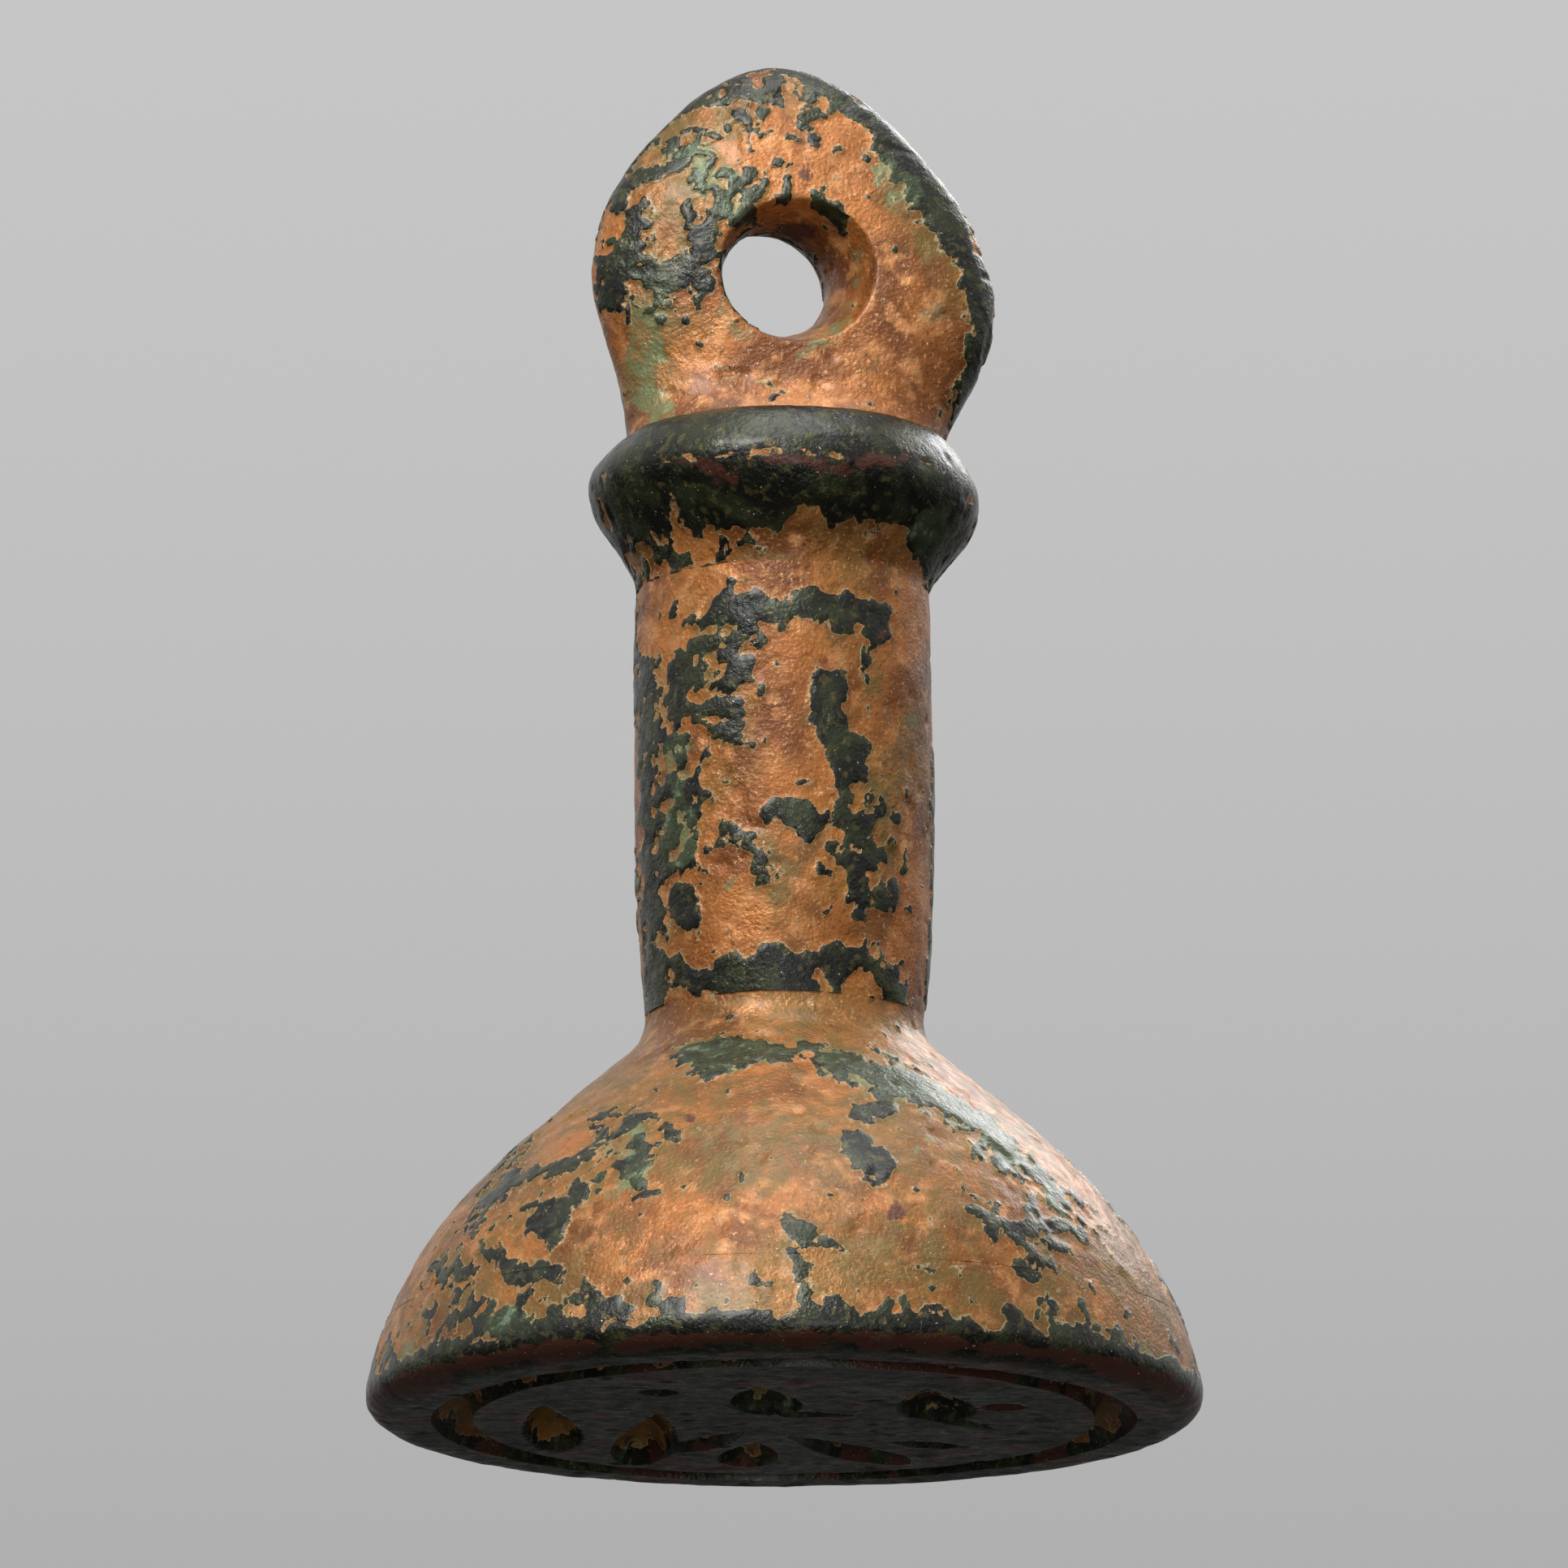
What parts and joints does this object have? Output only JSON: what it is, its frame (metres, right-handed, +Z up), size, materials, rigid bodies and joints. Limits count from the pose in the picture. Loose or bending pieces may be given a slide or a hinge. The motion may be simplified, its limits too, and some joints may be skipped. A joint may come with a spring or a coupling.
{
  "type": "stalk-handled stamp seal",
  "caption": "Cast bronze stamp seal with an engraved round face, a domed head, a round stalk, a ring collar and a pierced lug for a cord.",
  "frame": {"origin": "centre of the sealing face, in the plane that the seal stands on", "axes": "+Z up the stalk to the lug, +X to the right with the cord hole running along Y, -Y towards the viewer"},
  "size_m": [0.0268, 0.0268, 0.045],
  "materials": {
    "earthy_bronze": "excavated bronze under a matt orange-tan earthy film, with dark green-black crust in patches",
    "dark_patina_bronze": "excavated bronze with a smooth dark green-black patina, satin to glossy, red-brown on its worn edges"
  },
  "bodies": {
    "root": {"sealing_face": "dark_patina_bronze", "dome": "earthy_bronze", "stalk": "earthy_bronze", "collar": "dark_patina_bronze", "suspension_lug": "earthy_bronze"}
  },
  "joints": []
}
